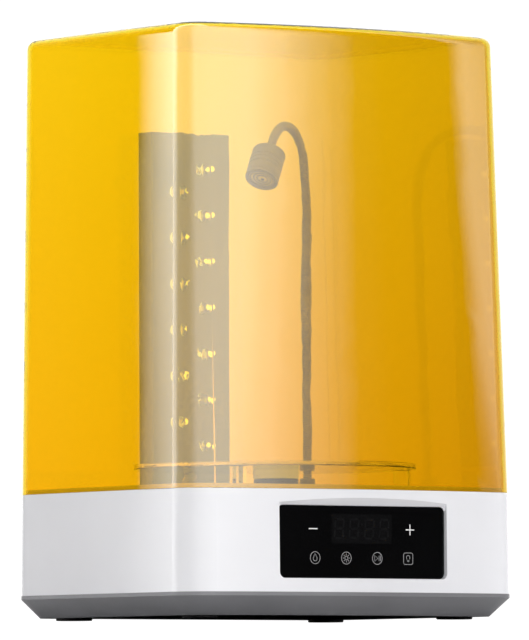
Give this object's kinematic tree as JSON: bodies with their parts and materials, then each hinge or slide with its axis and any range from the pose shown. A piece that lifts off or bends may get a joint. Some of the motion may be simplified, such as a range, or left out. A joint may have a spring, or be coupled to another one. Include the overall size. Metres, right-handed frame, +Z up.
{
  "type": "resin wash and cure station",
  "caption": "Wash and cure station for resin prints: amber lift-off hood, clear turntable, LED column and gooseneck lamp on a base with a touch panel.",
  "frame": {"origin": "bottom centre of the bounding box, on the surface that the feet stand on", "axes": "+Z up, -Y towards the front with the control panel, +X to the right seen from the front"},
  "size_m": [0.3276, 0.2696, 0.467],
  "materials": {
    "amber_acrylic": "clear amber, glossy",
    "white_plastic": "satin white",
    "dark_plastic": "fine matt texture",
    "black_rubber": "matt",
    "panel_black": "gloss black",
    "display_dark": "matt",
    "spring_steel": "plain",
    "board_green": "solder mask",
    "board_white": "white solder mask",
    "zinc_screw": "zinc plated",
    "black_screw": "black oxide",
    "capacitor_sleeve": "printed sleeve",
    "component_black": "matt",
    "bare_aluminium": "extruded",
    "bearing_steel": "ground",
    "steel_plate": "zinc plated",
    "turned_steel": "turned",
    "hub_plastic": "moulded",
    "boss_plastic": "satin",
    "clear_acrylic": "clear",
    "column_grey": "fine satin",
    "led_chip": "phosphor",
    "lens_clear": "clear",
    "lamp_metal": "satin grey",
    "neck_metal": "wound flexible tube",
    "mirror_bright": "vacuum plated",
    "switch_black": "moulded",
    "lead_sleeve": "PVC sleeve"
  },
  "bodies": {
    "base": {"upper_housing": "white_plastic", "lower_tray": "dark_plastic", "rubber_feet": "black_rubber", "case_screws": "black_screw", "panel_glass": "panel_black", "display_module": "display_dark", "touch_springs": "spring_steel", "touch_board": "board_green", "board_screws": "zinc_screw", "bearing_outer_race": "bearing_steel", "bearing_balls": "bearing_steel", "bearing_retainer": "steel_plate", "shaft_seal": "black_rubber", "motor_bracket": "steel_plate", "drive_screws": "zinc_screw", "gearbox": "turned_steel", "motor": "turned_steel", "column_housing": "column_grey", "column_cover": "column_grey", "column_screws": "zinc_screw", "led_board": "board_white", "uv_leds": "led_chip", "led_lenses": "lens_clear", "hood_sensor": "component_black", "lamp_socket": "hub_plastic", "panel_nuts": "zinc_screw", "switch_body": "switch_black", "power_inlet": "switch_black", "main_board": "board_green", "board_capacitors": "capacitor_sleeve", "board_components": "component_black", "heat_sink": "bare_aluminium", "column_lead": "lead_sleeve", "lamp_lead": "lead_sleeve", "panel_lead": "lead_sleeve", "power_lead": "lead_sleeve"},
    "hood": {"hood": "amber_acrylic", "hood_magnet": "bearing_steel"},
    "drive": {"spindle": "turned_steel", "shaft_coupling": "bare_aluminium", "bearing_inner_race": "bearing_steel", "motor_shaft": "turned_steel", "drive_hub": "hub_plastic", "hub_magnets": "bearing_steel", "hub_screw": "zinc_screw"},
    "turntable": {"turntable_disc": "clear_acrylic", "turntable_boss": "boss_plastic", "turntable_legs": "clear_acrylic"},
    "lamp_stem": {"lamp_plug": "lamp_metal", "neck_lower": "neck_metal", "neck_lower_bend": "neck_metal"},
    "lamp_arm": {"neck_upper": "neck_metal", "neck_upper_bend": "neck_metal"},
    "lamp_head": {"neck_tip": "neck_metal", "head_shell": "lamp_metal", "head_bezel": "lamp_metal", "head_lens": "lens_clear", "head_reflector": "mirror_bright", "head_led_board": "board_white"},
    "rocker": {"power_rocker": "switch_black"}
  },
  "joints": [
    {"name": "hood_lift", "type": "slide", "parent": "base", "child": "hood", "axis": [0, 0, 1], "range_m": [0, 0.38]},
    {"name": "drive_spin", "type": "hinge", "parent": "base", "child": "drive", "pos_m": [0, -0.0075, 0.1], "axis": [0, 0, 1], "continuous": true},
    {"name": "turntable_lift", "type": "slide", "parent": "drive", "child": "turntable", "axis": [0, 0, 1], "range_m": [0, 0.08]},
    {"name": "lamp_swivel", "type": "hinge", "parent": "base", "child": "lamp_stem", "pos_m": [0.098, 0.084, 0.105], "axis": [0, 0, 1], "range_deg": [-30, 75]},
    {"name": "neck_bend", "type": "hinge", "parent": "lamp_stem", "child": "lamp_arm", "pos_m": [0.098, 0.084, 0.242], "axis": [0.5105, -0.8599, 0], "range_deg": [-8, 30], "deforming": ["neck_lower_bend"]},
    {"name": "head_bend", "type": "hinge", "parent": "lamp_arm", "child": "lamp_head", "pos_m": [0.06953, 0.0671, 0.40176], "axis": [0.5105, -0.8599, 0], "range_deg": [-30, 35], "deforming": ["neck_upper_bend"]},
    {"name": "power_switch", "type": "hinge", "parent": "base", "child": "rocker", "pos_m": [-0.104, 0.1308, 0.056], "axis": [1, 0, 0], "range_deg": [0, 15]}
  ]
}
